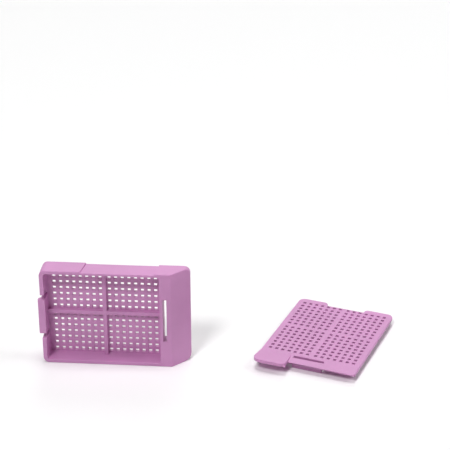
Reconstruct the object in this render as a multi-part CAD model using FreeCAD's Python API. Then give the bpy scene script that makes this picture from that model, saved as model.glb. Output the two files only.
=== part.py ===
"""Tissue cassette: a moulded base with four perforated bays, and its detachable perforated lid.

The base stands on one long wall with its open side towards -Y. The lid is off and lies flat
beside it, outside up. Every size is in millimetres. The base is built along X (from the
hinge end, s = 0, to the label end), with its depth along Y from the rim to the back, and its
width along Z. The lid is built closed on the base, so the two share their sizes, and is then
laid down.
"""
import FreeCAD
import Part
import math
import os

V = FreeCAD.Vector
OVERLAP = 0.1              # how far a joined or cutting form runs into or past its neighbour
SAME_PLACE = 1e-6          # points nearer than this are one

# ---- base: overall -------------------------------------------------------------------------
BASE_LENGTH = 40.65        # hinge-end wall to label end, without the hinge tongue's bead
BASE_WIDTH = 28.5          # across the two long walls
BASE_DEPTH = 5.75          # rim to back
LABEL_ANGLE = 45.0         # slope of the writing face, degrees
LABEL_FOOT = 1.0           # upright wall left below the writing face, at the back
CORNER_RADIUS = 1.7        # four outer corners
EDGE_ROUND = 0.25          # outer edges round the rim and the writing face

# ---- base: walls ---------------------------------------------------------------------------
SIDE_WALL = 1.05           # long walls, at the rim
HINGE_WALL = 1.2           # hinge-end wall, at the rim
FLOOR_THICKNESS = 0.85     # perforated floor
LATCH_WALL = 0.9           # wall between the cavity and the latch slot, at the rim
LATCH_LAND = 3.23          # flat land between the cavity and the writing face
LAND_THICKNESS = 0.8       # thickness of that land where the slot goes through it
LABEL_THICKNESS = 1.0      # panel under the writing face
END_WALL = 0.95            # wall at the label end
WALL_DRAFT = 1.5           # cavity walls lean in towards the floor, degrees
CAVITY_CORNER = 0.7        # upright corners of the cavity

# ---- base: dividers and holes --------------------------------------------------------------
DIVIDER_WIDTH = 1.1        # at its top
DIVIDER_DRAFT = 1.5        # its sides lean, degrees
DIVIDER_HEIGHT = 1.3
DIVIDER_OFFSET = 0.15      # the crossing sits this much nearer the latch than mid-cavity
HOLE_PITCH = 1.82
HOLE_FRONT = 1.0           # square hole, on the specimen side
HOLE_BACK = 0.88           # the same hole at the back: the core pins are tapered
HOLE_TO_DIVIDER = 0.69     # first hole's centre from the divider's face
HOLE_TO_WALL = 0.95        # least distance from a hole's centre to a cavity wall

# ---- base: hinge, latch and tape channel -----------------------------------------------------
TONGUE_WIDTH = 10.55       # middle piece of the hinge-end wall
TONGUE_DROP = 0.3          # its top below the rim
BEAD_REACH = 0.7           # bead along the tongue's outer edge
BEAD_DEPTH = 1.5
NOTCH_WIDTH = 1.4          # slit each side of the tongue
NOTCH_FOOT = 0.5           # wall left between a slit and the floor
SLOT_LENGTH = 12.9         # latch slot, along the width
SLOT_WIDTH = 1.0
LATCH_LEDGE = 0.25         # how far the latch wall is cut back under the land
LATCH_RIB = 0.8            # two ribs under the writing face
LATCH_RIB_GAP = 1.2        # from the slot's end to a rib
CHANNEL_START = 11.3       # tape channel in one long wall, from the hinge end
CHANNEL_LENGTH = 20.0
CHANNEL_DEPTH = 0.35
CHANNEL_SLANT = 0.9        # how much nearer the label end the channel is at the back than the rim

# ---- lid ---------------------------------------------------------------------------------------
LID_THICKNESS = 0.9
LID_EDGE_ROUND = 0.2
HINGE_CLEARANCE = 0.35     # lid's recess round the hinge tongue
EAR_REACH = 1.67           # ears beyond the recess
EAR_CORNER_OUTER = 1.8
EAR_CORNER_INNER = 1.1
RECESS_CORNER = 0.5
FRONT_OVERHANG = 0.35      # lid's front edge beyond the end of the land
FRONT_BEVEL = 0.8          # undercut along the lid's front edge
FRONT_CORNER = 0.7
LID_GRID_SHIFT = 0.74      # lid's holes are this much nearer the hinge than the base's
LID_GRID_GAP = 2.4         # centre to centre, across the two plain bands of the lid
LID_HOLE_TOP = 0.9
LID_HOLE_UNDER = 0.82

# ---- lid: latch, legs and thumb tab ----------------------------------------------------------
LATCH_CLEARANCE = 0.1      # latch tongue in the base's slot, at each face
LATCH_WIDTH = 8.5
LATCH_LENGTH = 1.75        # below the lid's underside; the legs are as long
BARB_REACH = 0.2
BARB_CLEARANCE = 0.05      # barb under the land
LATCH_TIP_CHAMFER = 0.35
RELIEF_LENGTH = 8.85       # slot through the lid behind the latch
RELIEF_WIDTH = 1.05
RELIEF_TO_LATCH = 0.32
LEG_WIDTH = 0.75           # legs that drop into the slits beside the hinge tongue
LEG_THICKNESS = 0.73
LEG_CLEARANCE = 0.08       # to the slit's outer side, and inside the wall's inner face
TAB_START = 4.0            # where the tab starts to rise, behind the end of the land
TAB_REACH = 3.9            # tab's front edge beyond the end of the land
TAB_RISE = 1.17            # tab's top above the lid's, at its front edge
TAB_THICKNESS = 1.0
TAB_WIDTH_ROOT = 8.9
TAB_FLARE = 0.9            # how much wider the tab is at its front
TAB_CORNER_OUTER = 2.7
TAB_CORNER_INNER = 1.9

# ---- where the lid lies ------------------------------------------------------------------------
LID_PLACE_X = 57.21
LID_PLACE_Y = 12.72
LID_TURN = -107.95         # about Z, degrees; at 0 the front edge would face +X

# ---- worked out from the sizes above -----------------------------------------------------------
LABEL_RISE = BASE_DEPTH - LABEL_FOOT          # depth that the writing face falls through
LABEL_RUN = LABEL_RISE / math.tan(math.radians(LABEL_ANGLE))
RIM_LENGTH = BASE_LENGTH - LABEL_RUN
CAVITY_START = HINGE_WALL
CAVITY_END = RIM_LENGTH - LATCH_LAND
FLOOR_Y = BASE_DEPTH - FLOOR_THICKNESS
MID_Z = BASE_WIDTH / 2
CROSS_S = (CAVITY_START + CAVITY_END) / 2 + DIVIDER_OFFSET
SLOT_START = CAVITY_END + LATCH_WALL
DRAFT_SHIFT = FLOOR_Y * math.tan(math.radians(WALL_DRAFT))
LID_START = HINGE_CLEARANCE + HINGE_WALL      # bottom of the recess round the tongue
LID_END = RIM_LENGTH + FRONT_OVERHANG
LATCH_REAR = SLOT_START + LATCH_CLEARANCE
LATCH_FRONT = SLOT_START + SLOT_WIDTH - LATCH_CLEARANCE


def box(s, y, z):
    """A box from its low and high values along the length, the depth and the width."""
    return Part.makeBox(s[1] - s[0], y[1] - y[0], z[1] - z[0], V(s[0], y[0], z[0]))


def side_prism(points, z):
    """A closed (s, y) profile carried across the width."""
    wire = Part.makePolygon([V(s, y, z[0]) for s, y in points + points[:1]])
    return Part.Face(wire).extrude(V(0, 0, z[1] - z[0]))


def plan_prism(points, y):
    """A closed (s, z) outline carried through the depth."""
    wire = Part.makePolygon([V(s, y[0], z) for s, z in points + points[:1]])
    return Part.Face(wire).extrude(V(0, y[1] - y[0], 0))


def rounded_upright(solid, corners):
    """Rounds the edges that run along the depth at the given {(s, z): radius}."""
    for (s, z), radius in corners.items():
        edges = [
            edge for edge in solid.Edges
            if all(math.hypot(v.Point.x - s, v.Point.z - z) < SAME_PLACE for v in edge.Vertexes)
        ]
        solid = solid.makeFillet(radius, edges)
    return solid


def offsets(first, reach, pitch=HOLE_PITCH):
    """Hole centres each side of a middle line: the first offset, then by the pitch."""
    count = int((reach - first + SAME_PLACE) / pitch) + 1
    one_side = [first + pitch * k for k in range(count)]
    return [-x for x in reversed(one_side)] + one_side


def hole_pins(centres_s, centres_z, y, sizes):
    """Tapered square pins; sizes are the pin's sides at the two y values."""
    low, high = sizes[0] / 2, sizes[1] / 2
    pins = []
    for s in centres_s:
        for z in centres_z:
            pin = Part.makeWedge(s - low, y[0], z - low, z - high, s - high,
                                 s + low, y[1], z + low, z + high, s + high)
            pins.append(pin)
    return Part.makeCompound(pins)


# ---- base ----------------------------------------------------------------------------------------
def base_body():
    """Outer form: a rounded tray blank whose label end falls away as the writing face."""
    corners = [(0, 0), (BASE_LENGTH, 0), (BASE_LENGTH, BASE_WIDTH), (0, BASE_WIDTH)]
    body = plan_prism(corners, (0, BASE_DEPTH))
    body = rounded_upright(body, {corner: CORNER_RADIUS for corner in corners})
    beyond = BASE_LENGTH + LABEL_RUN
    above_label = [(RIM_LENGTH, 0), (RIM_LENGTH, -OVERLAP), (beyond, -OVERLAP),
                   (beyond, 2 * LABEL_RISE)]
    body = body.cut(side_prism(above_label, (-OVERLAP, BASE_WIDTH + OVERLAP)))
    edges = {}
    for face in body.Faces:
        facing = face.normalAt(0, 0)
        on_rim = face.CenterOfMass.y < SAME_PLACE
        on_label = facing.x > SAME_PLACE and facing.y < -SAME_PLACE
        if isinstance(face.Surface, Part.Plane) and (on_rim or on_label):
            edges.update({edge.hashCode(): edge for edge in face.Edges})
    return body.makeFillet(EDGE_ROUND, list(edges.values()))


def cavity():
    """The specimen space: drafted walls with rounded upright corners, down to the floor."""
    sections = []
    for y, shift in ((0, 0), (FLOOR_Y, DRAFT_SHIFT)):
        along = (CAVITY_START + shift, CAVITY_END - shift)
        across = (SIDE_WALL + shift, BASE_WIDTH - SIDE_WALL - shift)
        sections.append(rounded_outline(along, across, CAVITY_CORNER, y))
    return Part.makeLoft(sections, True, True)


def rounded_outline(along, across, radius, y):
    """A rectangle in (s, z) with round corners, as one wire at a depth."""
    s0, s1 = along
    z0, z1 = across
    lines = [
        (V(s0 + radius, y, z0), V(s1 - radius, y, z0)),
        (V(s1, y, z0 + radius), V(s1, y, z1 - radius)),
        (V(s1 - radius, y, z1), V(s0 + radius, y, z1)),
        (V(s0, y, z1 - radius), V(s0, y, z0 + radius)),
    ]
    corners = [(s1 - radius, z0 + radius, -45), (s1 - radius, z1 - radius, 45),
               (s0 + radius, z1 - radius, 135), (s0 + radius, z0 + radius, 225)]
    edges = []
    for k, (start, end) in enumerate(lines):
        s, z, angle = corners[k]
        turn = math.radians(angle)
        middle = V(s + radius * math.cos(turn), y, z + radius * math.sin(turn))
        next_start = lines[(k + 1) % len(lines)][0]
        edges.append(Part.LineSegment(start, end).toShape())
        edges.append(Part.Arc(end, middle, next_start).toShape())
    return Part.Wire(edges)


def dividers():
    """The drafted cross that parts the cavity into four bays."""
    top = DIVIDER_WIDTH / 2
    foot = top + DIVIDER_HEIGHT * math.tan(math.radians(DIVIDER_DRAFT))
    crest = FLOOR_Y - DIVIDER_HEIGHT
    sides = [(-top, crest), (top, crest), (foot, FLOOR_Y + OVERLAP), (-foot, FLOOR_Y + OVERLAP)]
    along = Part.Face(Part.makePolygon(
        [V(CAVITY_START - OVERLAP, y, MID_Z + x) for x, y in sides + sides[:1]]
    )).extrude(V(CAVITY_END - CAVITY_START + 2 * OVERLAP, 0, 0))
    across = side_prism([(CROSS_S + x, y) for x, y in sides],
                        (SIDE_WALL - OVERLAP, BASE_WIDTH - SIDE_WALL + OVERLAP))
    return along.fuse(across)


def base_hole_pins():
    """One pin for each hole of the floor, counted out from the dividers."""
    first = DIVIDER_WIDTH / 2 + HOLE_TO_DIVIDER
    reach_s = min(CROSS_S - CAVITY_START, CAVITY_END - CROSS_S) - HOLE_TO_WALL
    reach_z = MID_Z - SIDE_WALL - HOLE_TO_WALL
    return hole_pins([CROSS_S + x for x in offsets(first, reach_s)],
                     [MID_Z + x for x in offsets(first, reach_z)],
                     (FLOOR_Y - OVERLAP / 2, BASE_DEPTH + OVERLAP / 2), (HOLE_FRONT, HOLE_BACK))


def label_pocket():
    """The hollow behind the land and the writing face, open at the back, with its two ribs."""
    slope = math.radians(LABEL_ANGLE)
    under_bend = LABEL_THICKNESS / math.sin(slope) - LAND_THICKNESS / math.tan(slope)
    inner_start = SLOT_START - LATCH_LEDGE
    inner_end = BASE_LENGTH - END_WALL
    bend_s = RIM_LENGTH - under_bend
    end_y = LAND_THICKNESS + (inner_end - bend_s) * math.tan(slope)
    profile = [(inner_start, LAND_THICKNESS), (bend_s, LAND_THICKNESS), (inner_end, end_y),
               (inner_end, BASE_DEPTH + OVERLAP), (inner_start, BASE_DEPTH + OVERLAP)]
    pocket = side_prism(profile, (SIDE_WALL, BASE_WIDTH - SIDE_WALL))
    rib_near = SLOT_LENGTH / 2 + LATCH_RIB_GAP
    for side in (-1, 1):
        across = sorted([MID_Z + side * rib_near, MID_Z + side * (rib_near + LATCH_RIB)])
        rib = box((inner_start - OVERLAP, BASE_LENGTH), (0, BASE_DEPTH + 2 * OVERLAP), across)
        pocket = pocket.cut(rib)
    return pocket


def latch_slot():
    """The slot through the land, open into the hollow behind it."""
    return box((SLOT_START, SLOT_START + SLOT_WIDTH), (-OVERLAP, LAND_THICKNESS + OVERLAP),
               (MID_Z - SLOT_LENGTH / 2, MID_Z + SLOT_LENGTH / 2))


def tape_channel():
    """Shallow channel across one long wall, with slanted ends, where a stack is taped."""
    end = CHANNEL_START + CHANNEL_LENGTH
    lean = CHANNEL_SLANT / BASE_DEPTH * OVERLAP
    profile = [(CHANNEL_START - lean, -OVERLAP), (end - lean, -OVERLAP),
               (end + CHANNEL_SLANT + lean, BASE_DEPTH + OVERLAP),
               (CHANNEL_START + CHANNEL_SLANT + lean, BASE_DEPTH + OVERLAP)]
    return side_prism(profile, (BASE_WIDTH - CHANNEL_DEPTH, BASE_WIDTH + OVERLAP))


def hinge_cuts():
    """The two slits beside the tongue, and the shallow cut that sets its top down."""
    half = TONGUE_WIDTH / 2
    deep = FLOOR_Y - NOTCH_FOOT
    past = HINGE_WALL + DRAFT_SHIFT + OVERLAP
    along = (-OVERLAP, past)
    cuts = box(along, (-OVERLAP, TONGUE_DROP), (MID_Z - half - OVERLAP, MID_Z + half + OVERLAP))
    for side in (-1, 1):
        across = sorted([MID_Z + side * half, MID_Z + side * (half + NOTCH_WIDTH)])
        cuts = cuts.fuse(box(along, (-OVERLAP, deep), across))
    return cuts


def hinge_bead():
    """The bead along the tongue's outer edge, sloped underneath."""
    top = TONGUE_DROP
    foot = TONGUE_DROP + BEAD_DEPTH
    profile = [(OVERLAP, top), (-BEAD_REACH, top), (-BEAD_REACH, foot - BEAD_REACH),
               (0, foot), (OVERLAP, foot)]
    return side_prism(profile, (MID_Z - TONGUE_WIDTH / 2, MID_Z + TONGUE_WIDTH / 2))


def make_base():
    """The base moulding, in one piece."""
    base = base_body().cut(cavity())
    base = base.fuse(dividers())
    base = base.cut(label_pocket()).cut(latch_slot()).cut(tape_channel())
    base = base.cut(hinge_cuts()).fuse(hinge_bead())
    base = base.cut(base_hole_pins())
    return base.removeSplitter()


# ---- lid -----------------------------------------------------------------------------------------
def lid_plate():
    """Flat plate on the rim: ears each side of the hinge recess, bevelled under its front."""
    half = TONGUE_WIDTH / 2 + HINGE_CLEARANCE
    ear = LID_START - EAR_REACH
    outline = {
        (ear, 0): EAR_CORNER_OUTER,
        (LID_END, 0): 0,
        (LID_END, BASE_WIDTH): FRONT_CORNER,
        (ear, BASE_WIDTH): EAR_CORNER_OUTER,
        (ear, MID_Z + half): EAR_CORNER_INNER,
        (LID_START, MID_Z + half): RECESS_CORNER,
        (LID_START, MID_Z - half): RECESS_CORNER,
        (ear, MID_Z - half): EAR_CORNER_INNER,
    }
    plate = plan_prism(list(outline), (-LID_THICKNESS, 0))
    plate = rounded_upright(plate, {place: r for place, r in outline.items() if r})
    top_edges = [edge for edge in plate.Edges
                 if all(abs(v.Point.y + LID_THICKNESS) < SAME_PLACE for v in edge.Vertexes)]
    plate = plate.makeFillet(LID_EDGE_ROUND, top_edges)
    bevel = side_prism([(LID_END - FRONT_BEVEL - OVERLAP, OVERLAP), (LID_END + OVERLAP, OVERLAP),
                        (LID_END + OVERLAP, -FRONT_BEVEL - OVERLAP)],
                       (-OVERLAP, BASE_WIDTH + OVERLAP))
    return plate.cut(bevel)


def thumb_tab():
    """The finger tab at one front corner, which rises from the plate past its front edge."""
    start = RIM_LENGTH - TAB_START
    end = RIM_LENGTH + TAB_REACH

    def ramp(s):
        """Height of the tab's top at a length."""
        return -LID_THICKNESS - TAB_RISE * (s - start) / (end - start)

    profile = [(start, ramp(start)), (end, ramp(end)), (end, ramp(end) + TAB_THICKNESS),
               (LID_END, ramp(LID_END) + TAB_THICKNESS),
               (LID_END - FRONT_BEVEL + OVERLAP, -OVERLAP), (start, -OVERLAP)]
    slab = side_prism(profile, (-OVERLAP, BASE_WIDTH))
    outline = {
        (start - OVERLAP, 0): 0,
        (end, 0): TAB_CORNER_OUTER,
        (end, TAB_WIDTH_ROOT + TAB_FLARE): TAB_CORNER_INNER,
        (start - OVERLAP, TAB_WIDTH_ROOT): 0,
    }
    plan = plan_prism(list(outline), (ramp(end) - OVERLAP, OVERLAP))
    plan = rounded_upright(plan, {place: r for place, r in outline.items() if r})
    tab = slab.common(plan)
    top_edges = [edge for edge in tab.Edges
                 if all(abs(v.Point.y - ramp(v.Point.x)) < SAME_PLACE for v in edge.Vertexes)
                 and edge.BoundBox.XMax > start + OVERLAP]
    return tab.makeFillet(LID_EDGE_ROUND, top_edges)


def lid_hole_pins():
    """One pin for each hole of the lid, in four groups parted by two plain bands."""
    first = LID_GRID_GAP / 2
    reach_s = min(CROSS_S - CAVITY_START, CAVITY_END - CROSS_S) - HOLE_TO_WALL
    reach_z = MID_Z - SIDE_WALL - HOLE_TO_WALL
    middle = CROSS_S - LID_GRID_SHIFT
    return hole_pins([middle + x for x in offsets(first, reach_s)],
                     [MID_Z + x for x in offsets(first, reach_z)],
                     (-LID_THICKNESS - OVERLAP / 2, OVERLAP / 2), (LID_HOLE_TOP, LID_HOLE_UNDER))


def latch():
    """Latch tongue with its barb, which snaps under the land through the base's slot."""
    barb_top = LAND_THICKNESS + BARB_CLEARANCE
    profile = [(LATCH_REAR, -OVERLAP), (LATCH_REAR, barb_top), (LATCH_REAR - BARB_REACH, barb_top),
               (LATCH_REAR + BARB_REACH, LATCH_LENGTH),
               (LATCH_FRONT - LATCH_TIP_CHAMFER / 2, LATCH_LENGTH),
               (LATCH_FRONT, LATCH_LENGTH - LATCH_TIP_CHAMFER), (LATCH_FRONT, -OVERLAP)]
    return side_prism(profile, (MID_Z - LATCH_WIDTH / 2, MID_Z + LATCH_WIDTH / 2))


def hinge_legs():
    """Two legs, one in each slit beside the hinge tongue."""
    end = HINGE_WALL - LEG_CLEARANCE
    outer = TONGUE_WIDTH / 2 + NOTCH_WIDTH - LEG_CLEARANCE
    legs = []
    for side in (-1, 1):
        across = sorted([MID_Z + side * outer, MID_Z + side * (outer - LEG_WIDTH)])
        legs.append(box((end - LEG_THICKNESS, end), (-OVERLAP, LATCH_LENGTH), across))
    return legs


def relief_slot():
    """Slot through the plate behind the latch, which lets the latch bend."""
    end = LATCH_REAR - RELIEF_TO_LATCH
    return box((end - RELIEF_WIDTH, end), (-LID_THICKNESS - OVERLAP, OVERLAP),
               (MID_Z - RELIEF_LENGTH / 2, MID_Z + RELIEF_LENGTH / 2))


def make_lid():
    """The lid moulding, in one piece, closed on the base."""
    lid = lid_plate().fuse([thumb_tab(), latch()] + hinge_legs())
    lid = lid.cut(relief_slot()).cut(lid_hole_pins())
    return lid.removeSplitter()


def laid_down(closed):
    """Turns the closed lid outside up, and lays it on the table beside the base."""
    lid = closed.translated(V(-(LID_START + LID_END) / 2, 0, -MID_Z))
    lid.rotate(V(0, 0, 0), V(1, 0, 0), -90)
    lid.rotate(V(0, 0, 0), V(0, 0, 1), LID_TURN)
    return lid.translated(V(LID_PLACE_X, LID_PLACE_Y, LATCH_LENGTH))


def main():
    os.makedirs("parts", exist_ok=True)
    base = make_base().translated(V(-BASE_LENGTH / 2, -BASE_DEPTH / 2, 0))
    base.exportStep("parts/cassette_base.step")
    lid = laid_down(make_lid())
    lid.exportStep("parts/cassette_lid.step")
    for name, shape in (("cassette_base", base), ("cassette_lid", lid)):
        extent = shape.BoundBox
        print(name, "solids", len(shape.Solids), "valid", shape.isValid(),
              "volume", round(shape.Volume, 2), "size",
              [round(x, 2) for x in (extent.XLength, extent.YLength, extent.ZLength)])


main()
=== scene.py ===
"""A lilac tissue cassette: its four-bay base stands on edge, its perforated lid lies beside it.

Both mouldings are laid out the same way. A solid is first filled in as blocks between three sets
of lines, along the cassette's length (s), its depth (y, from the rim towards the back) and its
width (z). The skin between full and empty blocks is then bent to the real shape: rounded
corners, drafted walls, tapered holes, the sloped writing face and the lid's raised thumb tab.
Flat areas are merged, and the free edges are rounded. Lengths are in metres.
"""
import math

import bmesh
import bpy
import numpy as np
from mathutils import Matrix, Vector


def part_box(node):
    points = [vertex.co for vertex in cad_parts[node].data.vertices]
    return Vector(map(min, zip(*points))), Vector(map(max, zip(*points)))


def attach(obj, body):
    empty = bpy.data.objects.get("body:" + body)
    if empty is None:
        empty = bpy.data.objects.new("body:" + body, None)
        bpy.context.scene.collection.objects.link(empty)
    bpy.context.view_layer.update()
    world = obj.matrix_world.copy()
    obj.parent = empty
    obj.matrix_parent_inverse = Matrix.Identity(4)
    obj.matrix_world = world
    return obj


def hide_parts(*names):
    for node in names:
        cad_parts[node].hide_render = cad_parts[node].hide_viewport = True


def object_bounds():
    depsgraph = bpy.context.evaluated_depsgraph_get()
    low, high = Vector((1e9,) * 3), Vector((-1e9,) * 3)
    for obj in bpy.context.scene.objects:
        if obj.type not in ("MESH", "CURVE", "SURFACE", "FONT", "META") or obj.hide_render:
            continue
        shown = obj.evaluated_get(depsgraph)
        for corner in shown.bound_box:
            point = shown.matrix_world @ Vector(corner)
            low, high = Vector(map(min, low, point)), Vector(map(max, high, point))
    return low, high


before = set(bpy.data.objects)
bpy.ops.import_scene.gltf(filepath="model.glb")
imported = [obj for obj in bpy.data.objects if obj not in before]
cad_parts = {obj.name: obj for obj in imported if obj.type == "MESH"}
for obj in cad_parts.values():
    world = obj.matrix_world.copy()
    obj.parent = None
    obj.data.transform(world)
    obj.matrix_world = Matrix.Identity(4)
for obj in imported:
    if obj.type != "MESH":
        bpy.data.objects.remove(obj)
CAD_BOX = [list(corner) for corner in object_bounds()]
BASE_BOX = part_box("cassette_base")

bl_info = {
    "name": "Tissue Cassette",
    "version": (1, 0, 0),
    "blender": (4, 5, 0),
    "location": "3D View > Sidebar > Cassette",
    "description": "Builds a moulded tissue cassette base and its lid, and the table they lie on",
    "category": "Object",
}

MM = 0.001
BODY = "root"
SLOT = "lilac_acetal"
MOULDED = SLOT + "_moulded"
LAID = "laid"               # each point's place on the lines
MERGE = 1e-7                # points nearer than this are one
DECIMALS = 8                # lines are placed to this many decimals of a metre
FOLLOW = 2.0                # lines within this many tapers of a hole's edge go along with it
ARC_STEPS = 4               # lines in half of a rounded corner
FLAT = math.radians(0.5)    # faces that meet at less than this are one flat face
SHARP = math.radians(20)    # edges that turn more than this are rounded
SMOOTH = math.radians(50)   # edges that turn less than this are shaded smooth
ROUND_STEPS = 2             # faces across a small round

BEAD_REACH = 0.7            # millimetres; the base's box has the bead in it
CHANNEL_EASE = (6 * MM, 3 * MM)     # the channel's slant fades out over these, each way
PANEL_STOP = 0.4            # how far past halfway to the back the panel goes, in label feet
TAB_EASE = 4 * MM           # the tab's flare fades out over this, inwards
TAB_LINE = 0.6              # a line runs round the tab's edge here, in thicknesses from its top
BARB_SLOPE = (2.0, 1.25)    # how far the barb's two lines move in at the tip, in barb reaches
HOLE_MARGIN = 0.6           # the lid's grid ends this far past a hole's centre, in hole sizes


def length(title, text, millimetres):
    """A length that a user may change, given in millimetres and kept in metres."""
    return bpy.props.FloatProperty(name=title, description=text, default=millimetres * MM,
                                   min=0.0, precision=5, unit="LENGTH")


def angle(title, text, degrees):
    """An angle that a user may change, given in degrees."""
    return bpy.props.FloatProperty(name=title, description=text,
                                   default=math.radians(degrees), subtype="ANGLE")


def colour(title, text, rgb):
    """A colour that a user may change."""
    return bpy.props.FloatVectorProperty(name=title, description=text, default=rgb, size=3,
                                         min=0.0, max=1.0, subtype="COLOR")


def share(title, text, value, top=1.0):
    """A plain number that a user may change."""
    return bpy.props.FloatProperty(name=title, description=text, default=value, min=0.0, max=top)


# ---- settings --------------------------------------------------------------------------------
class CassetteBaseSettings(bpy.types.PropertyGroup):
    """Sizes of the base."""
    bead_reach: length("Bead reach", "Bead along the hinge tongue's outer edge",
                       BEAD_REACH)
    length: length("Length", "Hinge-end wall to label end",
                   (BASE_BOX[1].x - BASE_BOX[0].x) / MM - BEAD_REACH)
    depth: length("Depth", "Rim to back", (BASE_BOX[1].y - BASE_BOX[0].y) / MM)
    width: length("Width", "Across the two long walls", (BASE_BOX[1].z - BASE_BOX[0].z) / MM)
    corner: length("Corner radius", "Four outer corners", 1.7)
    label_angle: angle("Label angle", "Slope of the writing face", 45.0)
    label_foot: length("Label foot", "Upright wall left below the writing face", 1.0)
    label_panel: length("Label panel", "Thickness under the writing face", 1.0)
    end_wall: length("End wall", "Wall at the label end", 0.95)
    side_wall: length("Side wall", "Long walls, at the rim", 1.05)
    hinge_wall: length("Hinge wall", "Hinge-end wall, at the rim", 1.2)
    floor: length("Floor", "Thickness of the perforated floor", 0.85)
    wall_draft: angle("Wall draft", "Lean of the cavity walls", 1.5)
    cavity_corner: length("Cavity corner", "Upright corners of the cavity", 0.7)
    land: length("Land", "Flat between the cavity and the writing face", 3.23)
    land_panel: length("Land panel", "Thickness of the land", 0.8)
    divider: length("Divider", "Divider width at its crest", 1.1)
    divider_height: length("Divider height", "Divider height above the floor", 1.3)
    divider_offset: length("Crossing offset", "Crossing towards the latch from mid-cavity", 0.15)
    hole_pitch: length("Hole pitch", "Centre to centre of the holes", 1.82)
    hole_front: length("Hole, front", "Side of a hole on the specimen side", 1.0)
    hole_back: length("Hole, back", "Side of a hole at the back", 0.88)
    hole_to_divider: length("Hole to divider", "First hole's centre from a divider", 0.69)
    hole_to_wall: length("Hole to wall", "Least distance from a hole's centre to a wall", 0.95)
    tongue: length("Tongue", "Middle piece of the hinge-end wall", 10.55)
    tongue_drop: length("Tongue drop", "Tongue's top below the rim", 0.3)
    bead_depth: length("Bead depth", "Bead's depth along the tongue", 1.5)
    notch: length("Slit", "Slit each side of the tongue", 1.4)
    notch_foot: length("Slit foot", "Wall left between a slit and the floor", 0.5)
    latch_wall: length("Latch wall", "Wall between the cavity and the latch slot", 0.9)
    slot_length: length("Slot length", "Latch slot, along the width", 12.9)
    slot_width: length("Slot width", "Latch slot, along the length", 1.0)
    latch_ledge: length("Latch ledge", "Latch wall cut back under the land", 0.25)
    rib: length("Rib", "Ribs under the writing face", 0.8)
    rib_gap: length("Rib gap", "From the slot's end to a rib", 1.2)
    channel_start: length("Channel start", "Tape channel from the hinge end", 11.3)
    channel_length: length("Channel length", "Tape channel along the wall", 20.0)
    channel_depth: length("Channel depth", "Tape channel's depth", 0.35)
    channel_slant: length("Channel slant", "Lean of the channel's ends", 0.9)
    edge_round: length("Outer edge round", "Edges round the rim and the writing face", 0.25)
    small_round: length("Small edge round", "Every other free edge", 0.1)


class CassetteLidSettings(bpy.types.PropertyGroup):
    """Sizes of the lid, and where it lies."""
    thickness: length("Thickness", "Lid plate", 0.9)
    hinge_clearance: length("Hinge clearance", "Recess round the hinge tongue", 0.35)
    ear_reach: length("Ear reach", "Ears beyond the recess", 1.67)
    ear_outer: length("Ear outer corner", "Rear outer corners", 1.8)
    ear_inner: length("Ear inner corner", "Corners beside the recess", 1.1)
    recess_corner: length("Recess corner", "Corners at the bottom of the recess", 0.5)
    overhang: length("Front overhang", "Front edge beyond the land", 0.35)
    bevel: length("Front bevel", "Undercut along the front edge", 0.8)
    front_corner: length("Front corner", "Front corner without the tab", 0.7)
    grid_shift: length("Grid shift", "Lid holes nearer the hinge than the base's", 0.74)
    grid_gap: length("Grid gap", "Centre to centre across the plain bands", 2.4)
    hole_top: length("Hole, top", "Side of a hole on the outside", 0.9)
    hole_under: length("Hole, under", "Side of a hole underneath", 0.82)
    latch_clearance: length("Latch clearance", "Latch in the base's slot, each face", 0.1)
    latch_width: length("Latch width", "Latch tongue across the lid", 8.5)
    latch_length: length("Latch length", "Latch and legs below the lid", 1.75)
    barb_reach: length("Barb reach", "Barb on the latch", 0.2)
    barb_clearance: length("Barb clearance", "Barb under the land", 0.05)
    tip_chamfer: length("Tip chamfer", "Chamfer at the latch's tip", 0.35)
    relief_length: length("Relief length", "Slot behind the latch, across the lid", 8.85)
    relief_width: length("Relief width", "Slot behind the latch", 1.05)
    relief_to_latch: length("Relief to latch", "Plate left between slot and latch", 0.32)
    leg_width: length("Leg width", "Legs in the base's slits", 0.75)
    leg_thickness: length("Leg thickness", "Legs along the length", 0.73)
    leg_clearance: length("Leg clearance", "Leg inside its slit", 0.08)
    tab_start: length("Tab start", "Start of the rise, behind the end of the land", 4.0)
    tab_reach: length("Tab reach", "Tab beyond the end of the land", 3.9)
    tab_rise: length("Tab rise", "Tab's front above the plate", 1.17)
    tab_thickness: length("Tab thickness", "Thumb tab", 1.0)
    tab_width: length("Tab width", "Tab at its root", 8.9)
    tab_flare: length("Tab flare", "How much wider the tab is at its front", 0.9)
    tab_outer: length("Tab outer corner", "Corner at the lid's side", 2.7)
    tab_inner: length("Tab inner corner", "Corner towards the latch", 1.9)
    edge_round: length("Outer edge round", "Edges of the plate and the tab", 0.2)
    small_round: length("Small edge round", "Every other free edge", 0.08)
    place_x: length("Place X", "Middle of the lid along the base", 57.21)
    place_y: length("Place Y", "Middle of the lid behind the base's middle", 12.72)
    turn: angle("Turn", "Lid's turn on the table", -107.95)


class CassetteFinishSettings(bpy.types.PropertyGroup):
    """The moulded acetal."""
    acetal: colour("Acetal", "Dyed acetal", (0.6, 0.272, 0.525))
    flow: share("Flow marks", "Strength of the slow tint changes", 0.06)
    grain: length("Grain", "Spacing of the moulded grain", 0.16)
    grain_depth: length("Grain depth", "Height of the moulded grain", 0.006)
    roughness: share("Roughness", "Middle roughness of the surface", 0.45)


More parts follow.
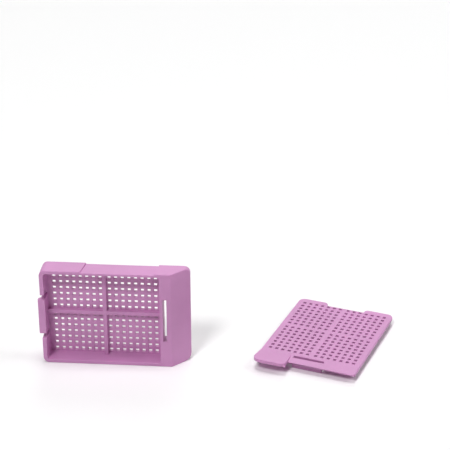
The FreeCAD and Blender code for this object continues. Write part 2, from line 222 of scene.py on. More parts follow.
class CassetteStageSettings(bpy.types.PropertyGroup):
    """The table, the lamps and the camera."""
    floor_size: length("Floor size", "Side of the floor", 6000.0)
    floor_tone: colour("Floor tone", "Pale floor, as it lights the cassette", (0.86, 0.86, 0.86))
    floor_seen: colour("Floor seen", "Pale floor, as the camera sees it", (1.0, 1.0, 1.0))
    lamp_distance: length("Lamp distance", "From the cassette to each lamp", 2000.0)
    overhead: share("Overhead light", "Power of the lamp above, in watts", 14.5, 100.0)
    key: share("Key light", "Power of the lamp at the front left, in watts", 17.0, 100.0)
    right: share("Right light", "Power of the lamp at the right, in watts", 8.6, 100.0)
    back: share("Back light", "Power of the lamp behind, in watts", 6.6, 100.0)
    sky: share("Sky", "Strength of the light all round", 0.1, 4.0)
    lens: share("Lens", "Focal length in millimetres", 126.97, 500.0)


# ---- lines and blocks -------------------------------------------------------------------------
class Blocks:
    """A solid as full and empty blocks between lines along s, y and z."""

    def __init__(self, s, y, z):
        self.lines = [np.array(sorted({round(float(line), DECIMALS) for line in axis}))
                      for axis in (s, y, z)]
        self.full = np.zeros([len(axis) - 1 for axis in self.lines], bool)

    def _between(self, axis, low, high):
        middle = (self.lines[axis][:-1] + self.lines[axis][1:]) / 2
        return (middle > low) & (middle < high)

    def put(self, s, y, z, full=True):
        """Fills, or with full=False empties, the blocks inside three ranges."""
        inside = (self._between(0, *s)[:, None, None] & self._between(1, *y)[None, :, None]
                  & self._between(2, *z)[None, None, :])
        self.full[inside] = full

    def cut(self, s, y, z):
        """Empties the blocks inside three ranges."""
        self.put(s, y, z, full=False)

    def skin(self):
        """The corner points of every block, and the quads between full and empty blocks."""
        counts = [len(axis) for axis in self.lines]
        grid = np.meshgrid(*self.lines, indexing="ij")
        points = np.stack([g.ravel() for g in grid], axis=1)
        strides = np.array([counts[1] * counts[2], counts[2], 1])
        padded = np.pad(self.full, 1)
        quads = []
        for axis in range(3):
            first, second = strides[(axis + 1) % 3], strides[(axis + 2) % 3]
            ahead = np.diff(padded.astype(np.int8), axis=axis)
            inner = tuple(slice(None) if a == axis else slice(1, -1) for a in range(3))
            ahead = ahead[inner]
            for change, loop in ((-1, (0, first, first + second, second)),
                                 (1, (0, second, first + second, first))):
                corner = np.argwhere(ahead == change) @ strides
                quads.append(corner[:, None] + np.array(loop)[None, :])
        return points, np.concatenate(quads)


def arc_lines(edge, radius):
    """Lines that give even steps round a corner whose edge is here; radius points inwards."""
    steps = [math.tan(math.pi / 4 * k / ARC_STEPS) for k in range(ARC_STEPS + 1)]
    return [edge + radius * (1 - t) for t in steps]


def offsets(first, reach, pitch):
    """Hole centres each side of a middle line."""
    count = int((reach - first) / pitch + MERGE) + 1
    one_side = [first + pitch * k for k in range(count)]
    return [-x for x in reversed(one_side)] + one_side


def edges_of(centres, size):
    """The two edges of each hole."""
    return [c + side * size / 2 for c in centres for side in (-1, 1)]


def rounded(a, b, centre_a, centre_b, radius, where, square=0.0):
    """Bends the square corner beyond (centre_a, centre_b) to a round one, where it is asked.

    The bend fades inwards, and what lies within square of the centre stays as it is.
    """
    from_a, from_b = a - centre_a, b - centre_b
    largest = np.maximum(np.abs(from_a), np.abs(from_b))
    span = np.maximum(np.hypot(from_a, from_b), MERGE)
    bent = np.clip((largest - square) / (radius - square), 0, 1)
    inside = where & (largest <= radius + MERGE)
    scale = np.where(inside, 1 + (largest / span - 1) * bent, 1.0)
    return centre_a + from_a * scale, centre_b + from_b * scale


def narrowed(values, centres, size, change, amount):
    """Moves the two edges of each hole towards its centre by half of change, times amount.

    Lines close to an edge go along, less the farther they are, so that it overtakes none.
    """
    shift = np.zeros_like(values)
    for centre in centres:
        for side in (-1, 1):
            away = np.abs(values - (centre + side * size / 2)) / (FOLLOW * abs(change))
            shift -= side * change / 2 * np.clip(1 - away, 0, 1)
    return values + shift * amount


def same(values, line):
    """True where a value lies on a line."""
    return np.abs(values - line) < MERGE


def on_line(value, lines):
    """True when a value lies on one of the lines."""
    return min(abs(value - line) for line in lines) < MERGE


# ---- shared sizes -----------------------------------------------------------------------------
class Layout:
    """Positions that the base and the lid share, worked out from the base's settings."""

    def __init__(self, base):
        self.slope = math.tan(base.label_angle)
        self.rim_end = base.length - (base.depth - base.label_foot) / self.slope
        self.cavity = (base.hinge_wall, self.rim_end - base.land)
        self.floor_y = base.depth - base.floor
        self.crest = self.floor_y - base.divider_height
        self.mid_z = base.width / 2
        self.cross = sum(self.cavity) / 2 + base.divider_offset
        self.slot = (self.cavity[1] + base.latch_wall,
                     self.cavity[1] + base.latch_wall + base.slot_width)
        self.pocket = (self.slot[0] - base.latch_ledge, base.length - base.end_wall)
        # the land's underside bends down here, along the writing face
        panel = base.label_panel / math.sin(base.label_angle)
        self.bend = self.rim_end - panel + base.land_panel / self.slope
        self.reach_s = min(self.cross - self.cavity[0], self.cavity[1] - self.cross)
        self.reach_s -= base.hole_to_wall
        self.reach_z = self.mid_z - base.side_wall - base.hole_to_wall
        self.pitch = base.hole_pitch
        self.holes = self.centres(base.divider / 2 + base.hole_to_divider)

    def centres(self, first, shift=0.0):
        """Hole centres along the length and across the width, by their distance to the cross."""
        along = [self.cross - shift + x for x in offsets(first, self.reach_s, self.pitch)]
        across = [self.mid_z + x for x in offsets(first, self.reach_z, self.pitch)]
        return along, across


# ---- base -------------------------------------------------------------------------------------
def base_blocks(base, at):
    """The base before it is bent: tray, dividers, holes, latch slot, hinge and channel."""
    width, depth, mid = base.width, base.depth, at.mid_z
    along, across = at.holes
    half_divider = base.divider / 2
    tongue = (mid - base.tongue / 2, mid + base.tongue / 2)
    slits = [(tongue[0] - base.notch, tongue[0]), (tongue[1], tongue[1] + base.notch)]
    slot_z = (mid - base.slot_length / 2, mid + base.slot_length / 2)
    rib_at = base.slot_length / 2 + base.rib_gap
    ribs = [(mid - rib_at - base.rib, mid - rib_at), (mid + rib_at, mid + rib_at + base.rib)]
    channel = (base.channel_start, base.channel_start + base.channel_length)
    inner_z = (base.side_wall, width - base.side_wall)
    slit_foot = at.floor_y - base.notch_foot
    bead_y = (base.tongue_drop, base.tongue_drop + base.bead_depth)

    s_lines = [-base.bead_reach, 0, base.length, *at.cavity, *at.slot, *at.pocket, *channel,
               at.rim_end, at.bend, at.cross - half_divider, at.cross + half_divider,
               *edges_of(along, base.hole_front),
               *arc_lines(0, base.corner), *arc_lines(base.length, -base.corner),
               *arc_lines(at.cavity[0], base.cavity_corner),
               *arc_lines(at.cavity[1], -base.cavity_corner)]
    z_lines = [0, width, *inner_z, *tongue, *slits[0], *slits[1], *slot_z, *ribs[0], *ribs[1],
               width - base.channel_depth, mid - half_divider, mid + half_divider,
               *edges_of(across, base.hole_front),
               *arc_lines(0, base.corner), *arc_lines(width, -base.corner),
               *arc_lines(inner_z[0], base.cavity_corner),
               *arc_lines(inner_z[1], -base.cavity_corner)]
    y_lines = [0, *bead_y, base.land_panel, at.crest, slit_foot, at.floor_y, depth]

    blocks = Blocks(s_lines, y_lines, z_lines)
    blocks.put((0, base.length), (0, depth), (0, width))
    blocks.cut(at.cavity, (0, at.floor_y), inner_z)
    divider_y = (at.crest, at.floor_y)
    blocks.put(at.cavity, divider_y, (mid - half_divider, mid + half_divider))
    blocks.put((at.cross - half_divider, at.cross + half_divider), divider_y, inner_z)
    blocks.cut(at.pocket, (base.land_panel, depth), inner_z)
    for rib in ribs:
        blocks.put(at.pocket, (base.land_panel, depth), rib)
    blocks.cut(at.slot, (0, base.land_panel), slot_z)
    blocks.cut(channel, (0, depth), (width - base.channel_depth, width))
    blocks.cut((0, base.hinge_wall), (0, base.tongue_drop), tongue)
    for slit in slits:
        blocks.cut((0, base.hinge_wall), (0, slit_foot), slit)
    blocks.put((-base.bead_reach, 0), bead_y, tongue)
    half = base.hole_front / 2
    for s in along:
        for z in across:
            blocks.cut((s - half, s + half), (at.floor_y, depth), (z - half, z + half))
    return blocks


def base_shape(base, at, points):
    """Bends the base's block corners to the moulded shape."""
    s, y, z = points.T.copy()
    s0, z0 = s.copy(), z.copy()
    width, depth = base.width, base.depth
    along, across = at.holes

    # holes taper towards the back, and dividers widen towards the floor
    within = ((s0 > MERGE) & (s0 < base.length - MERGE)
              & (z0 > MERGE) & (z0 < width - base.channel_depth - MERGE))
    at_back = (same(y, depth) & within).astype(float)
    taper = base.hole_front - base.hole_back
    s = narrowed(s, along, base.hole_front, taper, at_back)
    z = narrowed(z, across, base.hole_front, taper, at_back)
    lean = math.tan(base.wall_draft)
    widen = -2 * base.divider_height * lean
    down = np.clip((y - at.crest) / base.divider_height, 0, 1)
    s = narrowed(s, [at.cross], base.divider, widen, down)
    z = narrowed(z, [at.mid_z], base.divider, widen, down)

    # outer corners, and the cavity's own corners inside them
    in_s = (s0 > at.cavity[0] - MERGE) & (s0 < at.cavity[1] + MERGE)
    in_z = (z0 > base.side_wall - MERGE) & (z0 < width - base.side_wall + MERGE)
    in_cavity = in_s & in_z
    clear_of_holes = base.cavity_corner - (base.hole_to_wall - base.hole_front / 2)
    for end, way in ((0, 1), (base.length, -1)):
        for side, up in ((0, 1), (width, -1)):
            centre = (end + way * base.corner, side + up * base.corner)
            where = ((s0 - centre[0]) * way < 0) & ((z0 - centre[1]) * up < 0) & ~in_cavity
            where &= (s0 - end) * way > -MERGE
            s, z = rounded(s, z, *centre, base.corner, where, base.corner - base.end_wall)
    for end, way in ((at.cavity[0], 1), (at.cavity[1], -1)):
        for side, up in ((base.side_wall, 1), (width - base.side_wall, -1)):
            centre = (end + way * base.cavity_corner, side + up * base.cavity_corner)
            where = ((s0 - centre[0]) * way < 0) & ((z0 - centre[1]) * up < 0) & in_cavity
            s, z = rounded(s, z, *centre, base.cavity_corner, where, clear_of_holes)

    # the cavity's walls lean in towards the floor
    corner = base.cavity_corner
    from_s = s - np.clip(s, at.cavity[0] + corner, at.cavity[1] - corner)
    from_z = z - np.clip(z, base.side_wall + corner, width - base.side_wall - corner)
    span = np.maximum(np.hypot(from_s, from_z), MERGE)
    near_wall = np.clip((span - clear_of_holes) / (corner - clear_of_holes), 0, 1) * in_cavity
    drift = at.floor_y * lean * np.clip(y / at.floor_y, 0, 1) * near_wall
    s -= drift * from_s / span
    z -= drift * from_z / span

    # the bead is sloped underneath, and the channel's ends are slanted
    under_bead = same(s0, -base.bead_reach) & same(y, base.tongue_drop + base.bead_depth)
    y = np.where(under_bead, y - base.bead_reach, y)
    channel_end = base.channel_start + base.channel_length
    near = np.interp(s0, [base.channel_start - CHANNEL_EASE[0], base.channel_start, channel_end,
                          channel_end + CHANNEL_EASE[1]], [0, 1, 1, 0])
    on_top = np.interp(z0, [width - base.side_wall, width - base.channel_depth], [0, 1])
    s += on_top * near * base.channel_slant * y / depth

    # the writing face falls away, with its panel parallel to it
    top = np.clip((s - at.rim_end) * at.slope, 0, None)
    under = base.land_panel + np.clip((s - at.bend) * at.slope, 0, None)
    under = np.minimum(under, (top + depth) / 2 + base.label_foot * PANEL_STOP)
    upper = top + y / base.land_panel * (under - top)
    lower = under + (y - base.land_panel) / (depth - base.land_panel) * (depth - under)
    falling = s > at.bend - MERGE
    y = np.where(falling, np.where(y <= base.land_panel, upper, lower), y)
    return np.stack([s, y, z], axis=1)


def base_edges(base, at):
    """What becomes of each edge of the base: (kept as it lies, how far it is rounded).

    Perforated faces keep their quads. Seams part the other flat faces, so that none of them
    goes all the way round an opening.
    """
    def rule(one, other):
        s, y, z = (one + other) / 2
        in_bays = (at.cavity[0] < s < at.cavity[1]) and (
            base.side_wall < z < base.width - base.side_wall)
        level = abs(one.y - other.y) < MERGE
        rim = level and y < MERGE
        at_back = level and y > base.depth - MERGE
        perforated = (level and in_bays and y > at.floor_y - MERGE) or (
            at_back and s < at.cavity[1] + MERGE)
        seam = (rim and on_line(s, at.cavity)) or (at_back and on_line(s, at.pocket[:1]))
        outside = min(z, base.width - z, abs(s)) < MERGE or s > at.rim_end - MERGE
        if in_bays and y > at.floor_y - MERGE:
            amount = 0.0
        elif rim and outside:
            amount = base.edge_round
        else:
            amount = base.small_round
        return perforated or seam, amount
    return rule


# ---- lid --------------------------------------------------------------------------------------
class LidLayout:
    """Positions on the lid, as it lies when closed: y is zero on the rim, and up is negative."""

    def __init__(self, base, lid, at):
        self.start = lid.hinge_clearance + base.hinge_wall
        self.ear = self.start - lid.ear_reach
        self.end = at.rim_end + lid.overhang
        self.recess = base.tongue / 2 + lid.hinge_clearance
        self.tab = (at.rim_end - lid.tab_start, at.rim_end + lid.tab_reach)
        self.latch = (at.slot[0] + lid.latch_clearance, at.slot[1] - lid.latch_clearance)
        self.relief = (self.latch[0] - lid.relief_to_latch - lid.relief_width,
                       self.latch[0] - lid.relief_to_latch)
        self.barb_y = base.land_panel + lid.barb_clearance
        leg_end = base.hinge_wall - lid.leg_clearance
        self.leg = (leg_end - lid.leg_thickness, leg_end)
        leg_out = base.tongue / 2 + base.notch - lid.leg_clearance
        self.leg_z = (leg_out - lid.leg_width, leg_out)
        self.tab_top = -lid.thickness - lid.tab_rise
        self.centres = at.centres(lid.grid_gap / 2, lid.grid_shift)
        self.step = lid.edge_round / 2      # the plate's front edge jumps to the tab's in this

    def ramp(self, lid, s):
        """Height of the tab's top at a length."""
        return -lid.thickness - lid.tab_rise * (s - self.tab[0]) / (self.tab[1] - self.tab[0])


def lid_blocks(base, lid, at, on):
    """The lid before it is bent: plate, ears, tab, latch, legs, relief slot and holes."""
    mid, width, thick = at.mid_z, base.width, lid.thickness
    along, across = on.centres
    latch_z = (mid - lid.latch_width / 2, mid + lid.latch_width / 2)
    relief_z = (mid - lid.relief_length / 2, mid + lid.relief_length / 2)
    recess_z = (mid - on.recess, mid + on.recess)
    legs = [(mid - on.leg_z[1], mid - on.leg_z[0]), (mid + on.leg_z[0], mid + on.leg_z[1])]
    barb = (on.latch[0] - lid.barb_reach, on.latch[0])
    tip_y = lid.latch_length - lid.tip_chamfer

    s_lines = [on.ear, on.start, *on.leg, *on.relief, *barb, *on.latch, on.end - lid.bevel,
               on.end, *on.tab, *edges_of(along, lid.hole_top),
               *arc_lines(on.ear, lid.ear_outer), *arc_lines(on.ear, lid.ear_inner),
               *arc_lines(on.start, -lid.recess_corner), *arc_lines(on.end, -lid.front_corner),
               *arc_lines(on.tab[1], -lid.tab_outer), *arc_lines(on.tab[1], -lid.tab_inner)]
    z_lines = [0, width, *latch_z, *relief_z, *recess_z, *legs[0], *legs[1],
               lid.tab_width, lid.tab_width + on.step, *edges_of(across, lid.hole_top),
               *arc_lines(0, lid.ear_outer), *arc_lines(width, -lid.ear_outer),
               *arc_lines(recess_z[0], -lid.ear_inner), *arc_lines(recess_z[1], lid.ear_inner),
               *arc_lines(recess_z[0], lid.recess_corner),
               *arc_lines(recess_z[1], -lid.recess_corner),
               *arc_lines(width, -lid.front_corner), *arc_lines(0, lid.tab_outer),
               *arc_lines(lid.tab_width, -lid.tab_inner)]
    y_lines = [on.tab_top, -thick, 0, on.barb_y, tip_y, lid.latch_length]

    blocks = Blocks(s_lines, y_lines, z_lines)
    plate = (-thick, 0)
    blocks.put((on.ear, on.end), plate, (0, width))
    blocks.cut((on.ear, on.start), plate, recess_z)
    blocks.put(on.tab, (on.tab_top, -thick), (0, lid.tab_width))
    blocks.put((on.end, on.tab[1]), plate, (0, lid.tab_width))
    blocks.cut(on.relief, plate, relief_z)
    blocks.put(on.latch, (0, lid.latch_length), latch_z)
    blocks.put(barb, (on.barb_y, lid.latch_length), latch_z)
    for leg in legs:
        blocks.put(on.leg, (0, lid.latch_length), leg)
    half = lid.hole_top / 2
    for s in along:
        for z in across:
            blocks.cut((s - half, s + half), plate, (z - half, z + half))
    return blocks


def lid_shape(base, lid, at, on, points):
    """Bends the lid's block corners to the moulded shape."""
    s, y, z = points.T.copy()
    s0, y0, z0 = s.copy(), y.copy(), z.copy()
    width, mid = base.width, at.mid_z
    along, across = on.centres

    # holes taper towards the underside
    under = (y0 > -MERGE).astype(float)
    taper = lid.hole_top - lid.hole_under
    s = narrowed(s, along, lid.hole_top, taper, under)
    z = narrowed(z, across, lid.hole_top, taper, under)

    # corners of the plate, its ears, the recess and the tab
    for side, up in ((0, 1), (width, -1)):
        centre = (on.ear + lid.ear_outer, side + up * lid.ear_outer)
        where = (s0 < centre[0]) & ((z0 - centre[1]) * up < 0)
        s, z = rounded(s, z, *centre, lid.ear_outer, where)
    off_mid = np.abs(z0 - mid)
    on_leg = ((y0 > -MERGE) & (s0 > on.leg[0] - MERGE) & (s0 < on.leg[1] + MERGE)
              & (off_mid > on.leg_z[0] - MERGE) & (off_mid < on.leg_z[1] + MERGE))
    for up in (-1, 1):
        edge = mid + up * on.recess
        centre = (on.ear + lid.ear_inner, edge + up * lid.ear_inner)
        where = (s0 < centre[0]) & ((z0 - centre[1]) * up < 0) & ((z0 - edge) * up > -MERGE)
        where &= ~on_leg
        s, z = rounded(s, z, *centre, lid.ear_inner, where)
        centre = (on.start - lid.recess_corner, edge - up * lid.recess_corner)
        where = (s0 > centre[0]) & ((z0 - centre[1]) * up > 0) & (s0 < on.start + MERGE)
        where &= (z0 - edge) * up < MERGE
        s, z = rounded(s, z, *centre, lid.recess_corner, where)
    centre = (on.end - lid.front_corner, width - lid.front_corner)
    where = (s0 > centre[0]) & (s0 < on.end + MERGE) & (z0 > centre[1])
    s, z = rounded(s, z, *centre, lid.front_corner, where)
    centre = (on.tab[1] - lid.tab_outer, lid.tab_outer)
    s, z = rounded(s, z, *centre, lid.tab_outer, (s0 > centre[0]) & (z0 < centre[1]))
    centre = (on.tab[1] - lid.tab_inner, lid.tab_width - lid.tab_inner)
    where = (s0 > centre[0]) & (z0 > centre[1]) & (z0 < lid.tab_width + MERGE)
    s, z = rounded(s, z, *centre, lid.tab_inner, where)

    # the tab widens towards its front
    far = np.clip((s - on.tab[0]) / (on.tab[1] - on.tab[0]), 0, 1)
    z += lid.tab_flare * far * np.interp(
        z0, [lid.tab_width - TAB_EASE, lid.tab_width, lid.tab_width + lid.tab_flare], [0, 1, 0])

    # the front edge is bevelled underneath, and the tab climbs past it
    on_tab = z0 < lid.tab_width + MERGE
    bevel = np.clip((s - (on.end - lid.bevel)) / lid.bevel, 0, 1)
    ramp = on.ramp(lid, s)
    below_tab = on.ramp(lid, on.end) + lid.tab_thickness
    y = np.where(same(y0, 0) & (s0 < on.end + MERGE),
                 np.where(on_tab, below_tab, -lid.bevel) * bevel, y)
    past = s0 > on.end + MERGE
    y = np.where(same(y0, 0) & past, ramp + lid.tab_thickness, y)
    y = np.where(same(y0, -lid.thickness) & past, ramp + lid.tab_thickness * TAB_LINE, y)
    y = np.where(same(y0, on.tab_top), ramp, y)

    # the latch's barb and tip
    at_tip = same(y0, lid.latch_length) & (np.abs(z0 - mid) < lid.latch_width / 2 + MERGE)
    for line, move in ((on.latch[0] - lid.barb_reach, BARB_SLOPE[0] * lid.barb_reach),
                       (on.latch[0], BARB_SLOPE[1] * lid.barb_reach),
                       (on.latch[1], -lid.tip_chamfer / 2)):
        s = np.where(at_tip & same(s0, line), s + move, s)
    return np.stack([s, y, z], axis=1)


def lid_edges(base, lid, on):
    """What becomes of each edge of the lid: (kept as it lies, how far it is rounded).

    The grid of holes keeps its quads. Seams part the rest of the flat faces, so that none of
    them goes all the way round the relief slot, the latch or a leg.
    """
    along, across = on.centres
    reach = HOLE_MARGIN * lid.hole_top
    side = base.width - lid.front_corner
    seams_above = (*edges_of(along, lid.hole_top), *on.relief)
    seams_below = (*seams_above, *on.latch, on.leg[1])

    def rule(one, other):
        s, y, z = (one + other) / 2
        level = abs(one.y - other.y) < MERGE
        on_face = level and min(abs(y), abs(y + lid.thickness)) < MERGE
        in_plate = -lid.thickness - MERGE < y < MERGE
        in_grid = (along[0] - reach < s < along[-1] + reach
                   and across[0] - reach < z < across[-1] + reach)
        in_relief = on.relief[0] - MERGE < s < on.relief[1] + MERGE and z > lid.tab_width
        ease = 1.0
        if z > lid.tab_width:       # the front edge is thin, so its rounds grow round the corner
            ease = min(max((z - side + on.end - s) / (2 * lid.front_corner), 0.0), 1.0)
        if in_plate and in_grid:
            amount = 0.0
        elif on_face and y > -MERGE:
            amount = lid.small_round * ease
        elif in_relief or y > -lid.thickness + MERGE or not level:
            amount = lid.small_round
        else:
            amount = lid.small_round + (lid.edge_round - lid.small_round) * ease
        seams = seams_below if y > -MERGE else seams_above
        return on_face and (in_grid or on_line(s, seams)), amount
    return rule


# ---- mesh -------------------------------------------------------------------------------------
def moulding(name, blocks, shape, rule, place, largest):
    """Makes a mesh object from blocks: bent, merged, rounded and put in place."""
    points, quads = blocks.skin()
    used, index = np.unique(quads, return_inverse=True)
    mesh = bpy.data.meshes.new(name)
    mesh.from_pydata(shape(points)[used].tolist(), [], index.reshape(-1, 4).tolist())
    laid = mesh.attributes.new(LAID, "FLOAT_VECTOR", "POINT")
    laid.data.foreach_set("vector", points[used].ravel())
    bm = bmesh.new()
    bm.from_mesh(mesh)
    bmesh.ops.remove_doubles(bm, verts=bm.verts, dist=MERGE)
    bmesh.ops.dissolve_degenerate(bm, edges=bm.edges, dist=MERGE)
    merge_flats(bm, rule)
    weigh_edges(bm, rule, largest)
    bmesh.ops.transform(bm, matrix=place, verts=bm.verts)
    bm.to_mesh(mesh)
    bm.free()
    mesh.attributes.remove(mesh.attributes[LAID])
    made = bpy.data.objects.new(name, mesh)
    bpy.context.scene.collection.objects.link(made)
    bevel = made.modifiers.new("Rounded edges", "BEVEL")
    bevel.limit_method = "WEIGHT"
    bevel.width = largest
    bevel.segments = ROUND_STEPS
    bevel.use_clamp_overlap = False
    bevel.miter_outer = "MITER_SHARP"
    settle(made)
    return made


def merge_flats(bm, rule):
    """Joins coplanar faces away from the perforated ones, and drops points on straight edges."""
    laid = bm.verts.layers.float_vector[LAID]
    free = [edge for edge in bm.edges
            if not rule(edge.verts[0][laid], edge.verts[1][laid])[0]]
    bmesh.ops.dissolve_limit(bm, angle_limit=FLAT, use_dissolve_boundaries=False,
                             verts=bm.verts, edges=free, delimit=set())


def weigh_edges(bm, rule, largest):
    """Marks each free outward edge with how far it is rounded."""
    laid = bm.verts.layers.float_vector[LAID]
    weight = bm.edges.layers.float.new("bevel_weight_edge")
    for edge in bm.edges:
        if len(edge.link_faces) == 2 and edge.calc_face_angle_signed() > SHARP:
            amount = rule(edge.verts[0][laid], edge.verts[1][laid])[1]
            edge[weight] = amount / largest


def settle(made):
    """Turns an object's modifiers into its own mesh, and smooths it across its small rounds."""
    graph = bpy.context.evaluated_depsgraph_get()
    final = bpy.data.meshes.new_from_object(made.evaluated_get(graph))
    made.modifiers.clear()
    made.data = final
    final.polygons.foreach_set("use_smooth", [True] * len(final.polygons))
    final.set_sharp_from_angle(angle=SMOOTH)
    weighted = made.modifiers.new("Flat faces stay flat", "WEIGHTED_NORMAL")
    weighted.keep_sharp = True


# ---- finish -----------------------------------------------------------------------------------
FLOW = {"Scale": 90.0, "Detail": 3.0, "Roughness": 0.45}
FLOW_BAND = (0.3, 0.7)      # levels of the flow pattern between which the tint changes
GRAIN_DETAIL = 2.0
GRAIN_STRENGTH = 0.5
GLOSS_SPREAD = 0.06         # how far the roughness strays from its middle
ACETAL = {"IOR": 1.48, "Specular IOR Level": 0.5, "Subsurface Weight": 0.12,
          "Subsurface Radius": (1.0, 0.45, 0.85), "Subsurface Scale": 0.6 * MM}
MOTTLE = {"Scale": 60.0}
MOTTLE_SHADE = 0.995        # the floor's darker patches, as a share of its tone
FLOOR = {"Roughness": 0.7, "Specular IOR Level": 0.2}


def fill_in(node, values):
    """Sets a node's own sockets."""
    for socket, value in values.items():
        node.inputs[socket].default_value = value


def noise(nodes, links, values):
    """A noise pattern that stays put on the object."""
    place, pattern = nodes.new("ShaderNodeTexCoord"), nodes.new("ShaderNodeTexNoise")
    fill_in(pattern, values)
    links.new(place.outputs["Object"], pattern.inputs["Vector"])
    return pattern.outputs["Fac"]


def acetal(finish):
    """Matte dyed acetal: slow flow tint, fine moulded grain and a soft glow at thin walls."""
    material = bpy.data.materials.new(MOULDED)
    material.use_nodes = True
    nodes, links = material.node_tree.nodes, material.node_tree.links
    shader = nodes["Principled BSDF"]
    fill_in(shader, ACETAL)

    flow = noise(nodes, links, FLOW)
    tint = nodes.new("ShaderNodeValToRGB")
    dye = Vector(finish.acetal)
    shades = (dye * (1 - finish.flow), dye * (1 + finish.flow))
    for stop, level, shade in zip(tint.color_ramp.elements, FLOW_BAND, shades):
        stop.position = level
        stop.color = (*shade, 1)
    links.new(flow, tint.inputs["Fac"])
    links.new(tint.outputs["Color"], shader.inputs["Base Color"])

    grain = noise(nodes, links, {"Scale": 1 / finish.grain, "Detail": GRAIN_DETAIL})
    bump = nodes.new("ShaderNodeBump")
    fill_in(bump, {"Strength": GRAIN_STRENGTH, "Distance": finish.grain_depth})
    links.new(grain, bump.inputs["Height"])
    links.new(bump.outputs["Normal"], shader.inputs["Normal"])

    polish = nodes.new("ShaderNodeMapRange")
    fill_in(polish, {"To Min": finish.roughness - GLOSS_SPREAD,
                     "To Max": finish.roughness + GLOSS_SPREAD})
    links.new(flow, polish.inputs["Value"])
    links.new(polish.outputs["Result"], shader.inputs["Roughness"])
    return material


def finished(context, made):
    """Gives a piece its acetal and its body."""
    material = bpy.data.materials.get(MOULDED) or acetal(context.scene.cassette_finish)
    made.data.materials.clear()
    made.data.materials.append(material)
    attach(made, BODY)


def pale_floor(stage):
    """Pale floor that the camera sees as near white, and that keeps the shadows."""
    material = bpy.data.materials.new("pale_table")
    material.use_nodes = True
    nodes, links = material.node_tree.nodes, material.node_tree.links
    shader = nodes["Principled BSDF"]
    fill_in(shader, FLOOR)
    tone = nodes.new("ShaderNodeValToRGB")
    tone.color_ramp.elements[0].color = (*(Vector(stage.floor_tone) * MOTTLE_SHADE), 1)
    tone.color_ramp.elements[1].color = (*stage.floor_tone, 1)
    links.new(noise(nodes, links, MOTTLE), tone.inputs["Fac"])
    seen = nodes.new("ShaderNodeMix")
    seen.data_type = "RGBA"
    seen.inputs["B"].default_value = (*stage.floor_seen, 1)
    links.new(is_seen(nodes, links), seen.inputs["Factor"])
    links.new(tone.outputs["Color"], seen.inputs["A"])
    links.new(seen.outputs["Result"], shader.inputs["Base Color"])
    return material


def soft_sky(stage):
    """Even white all round, weak as light and plain white where it is seen or mirrored."""
    world = bpy.data.worlds.new("studio")
    world.use_nodes = True
    nodes, links = world.node_tree.nodes, world.node_tree.links
    sky = nodes["Background"]
    sky.inputs["Color"].default_value = (1, 1, 1, 1)
    level = nodes.new("ShaderNodeMapRange")
    fill_in(level, {"To Min": stage.sky, "To Max": 1.0})
    links.new(is_seen(nodes, links), level.inputs["Value"])
    links.new(level.outputs["Result"], sky.inputs["Strength"])
    return world


def is_seen(nodes, links):
    """1 for the camera, for a gloss and through a clear piece, and 0 for light."""
    ray = nodes.new("ShaderNodeLightPath")
    gloss, clear = nodes.new("ShaderNodeMath"), nodes.new("ShaderNodeMath")
    gloss.operation = clear.operation = "MAXIMUM"
    links.new(ray.outputs["Is Camera Ray"], gloss.inputs[0])
    links.new(ray.outputs["Is Glossy Ray"], gloss.inputs[1])
    links.new(gloss.outputs["Value"], clear.inputs[0])
    links.new(ray.outputs["Is Transmission Ray"], clear.inputs[1])
    return clear.outputs["Value"]


# ---- operators --------------------------------------------------------------------------------
class OBJECT_OT_cassette_base(bpy.types.Operator):
    """Build the four-bay base, standing on one long wall"""
    bl_idname = "object.cassette_base"
    bl_label = "Cassette Base"
    bl_options = {"REGISTER", "UNDO"}

    def execute(self, context):
        base = context.scene.cassette_base
        at = Layout(base)
        place = Matrix.Translation((-base.length / 2, -base.depth / 2, 0))
        made = moulding("base_moulding", base_blocks(base, at),
                        lambda points: base_shape(base, at, points),
                        base_edges(base, at), place, base.edge_round)
        finished(context, made)
        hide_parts("cassette_base")
        return {"FINISHED"}


class OBJECT_OT_cassette_lid(bpy.types.Operator):
    """Build the perforated lid with its thumb tab, lying outside up on the table"""
    bl_idname = "object.cassette_lid"
    bl_label = "Cassette Lid"
    bl_options = {"REGISTER", "UNDO"}

    def execute(self, context):
        base, lid = context.scene.cassette_base, context.scene.cassette_lid
        at = Layout(base)
        on = LidLayout(base, lid, at)
        centred = Matrix.Translation((-(on.start + on.end) / 2, 0, -at.mid_z))
        outside_up = Matrix.Rotation(math.radians(-90), 4, "X")
        turned = Matrix.Rotation(lid.turn, 4, "Z")
        moved = Matrix.Translation((lid.place_x, lid.place_y, lid.latch_length))
        made = moulding("lid_moulding", lid_blocks(base, lid, at, on),
                        lambda points: lid_shape(base, lid, at, on, points),
                        lid_edges(base, lid, on), moved @ turned @ outside_up @ centred,
                        lid.edge_round)
        finished(context, made)
        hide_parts("cassette_lid")
        return {"FINISHED"}


# each lamp's name, its direction from the cassette, its size in metres and its power's setting
LAMPS = (("overhead_lamp", (0, 0, 1), 0.6, "overhead"),
         ("key_lamp", (-0.3, -0.75, 1), 0.45, "key"),
         ("right_lamp", (1, 0, 1), 0.9, "right"),
         ("back_lamp", (0, 1, 1), 0.9, "back"))
CAMERA_PLACE = (0.061506, -0.378069, 0.223696)
CAMERA_TURN = (64.4698, 0.2445, 4.6412)     # degrees about X, Y and Z
CAMERA_REACH = (0.01, 20.0)                 # nearest and farthest that it sees
SENSOR = 36.0                               # millimetres


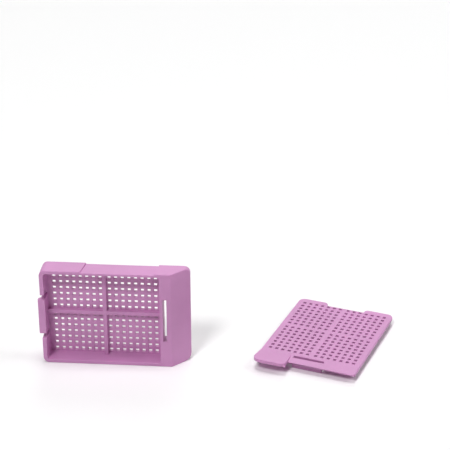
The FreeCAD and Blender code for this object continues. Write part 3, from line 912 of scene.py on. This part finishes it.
class SCENE_OT_cassette_stage(bpy.types.Operator):
    """Set out the pale table, the soft lamps and the camera"""
    bl_idname = "scene.cassette_stage"
    bl_label = "Table, Lamps and Camera"
    bl_options = {"REGISTER", "UNDO"}

    def execute(self, context):
        scene, stage = context.scene, context.scene.cassette_stage
        floor = bpy.data.objects.new("table", bpy.data.meshes.new("table"))
        half = stage.floor_size / 2
        floor.data.from_pydata([(-half, -half, 0), (half, -half, 0), (half, half, 0),
                                (-half, half, 0)], [], [(0, 1, 2, 3)])
        floor.data.materials.append(pale_floor(stage))
        scene.collection.objects.link(floor)

        for name, towards, size, power in LAMPS:
            add_lamp(scene, name, Vector(towards), stage.lamp_distance, size,
                     getattr(stage, power))

        scene.world = soft_sky(stage)
        scene.view_settings.view_transform = "Standard"

        lens = bpy.data.cameras.new("camera")
        lens.lens, lens.sensor_width = stage.lens, SENSOR
        lens.clip_start, lens.clip_end = CAMERA_REACH
        camera = bpy.data.objects.new("camera", lens)
        scene.collection.objects.link(camera)
        camera.location = CAMERA_PLACE
        camera.rotation_euler = [math.radians(turn) for turn in CAMERA_TURN]
        scene.camera = camera
        return {"FINISHED"}


def add_lamp(scene, name, towards, distance, size, power):
    """A square soft lamp in one direction from the cassette, pointed at it."""
    light = bpy.data.lights.new(name, "AREA")
    light.energy, light.size = power, size
    lamp = bpy.data.objects.new(name, light)
    middle = (Vector(CAD_BOX[0]) + Vector(CAD_BOX[1])) / 2
    lamp.location = middle + towards.normalized() * distance
    lamp.rotation_euler = towards.to_track_quat("Z", "Y").to_euler()
    scene.collection.objects.link(lamp)


class VIEW3D_PT_cassette(bpy.types.Panel):
    """Lists the cassette's pieces and their sizes"""
    bl_idname = "VIEW3D_PT_cassette"
    bl_label = "Tissue Cassette"
    bl_space_type = "VIEW_3D"
    bl_region_type = "UI"
    bl_category = "Cassette"

    def draw(self, context):
        for settings, operators in PANEL_ROWS.items():
            box = self.layout.box()
            for operator in operators:
                box.operator(operator)
            group = getattr(context.scene, settings)
            for name in group.__annotations__:
                box.prop(group, name)


PANEL_ROWS = {
    "cassette_base": ["object.cassette_base"],
    "cassette_lid": ["object.cassette_lid"],
    "cassette_finish": [],
    "cassette_stage": ["scene.cassette_stage"],
}
SETTINGS = {
    "cassette_base": CassetteBaseSettings,
    "cassette_lid": CassetteLidSettings,
    "cassette_finish": CassetteFinishSettings,
    "cassette_stage": CassetteStageSettings,
}
CLASSES = (*SETTINGS.values(), OBJECT_OT_cassette_base, OBJECT_OT_cassette_lid,
           SCENE_OT_cassette_stage, VIEW3D_PT_cassette)


def register():
    """Registers the classes and their settings."""
    for cls in CLASSES:
        bpy.utils.register_class(cls)
    for name, group in SETTINGS.items():
        setattr(bpy.types.Scene, name, bpy.props.PointerProperty(type=group))


def unregister():
    """Removes the settings and the classes."""
    for name in SETTINGS:
        delattr(bpy.types.Scene, name)
    for cls in reversed(CLASSES):
        bpy.utils.unregister_class(cls)


def main():
    """Builds everything."""
    register()
    bpy.ops.object.cassette_base()
    bpy.ops.object.cassette_lid()
    bpy.ops.scene.cassette_stage()


if __name__ == "__main__":
    main()
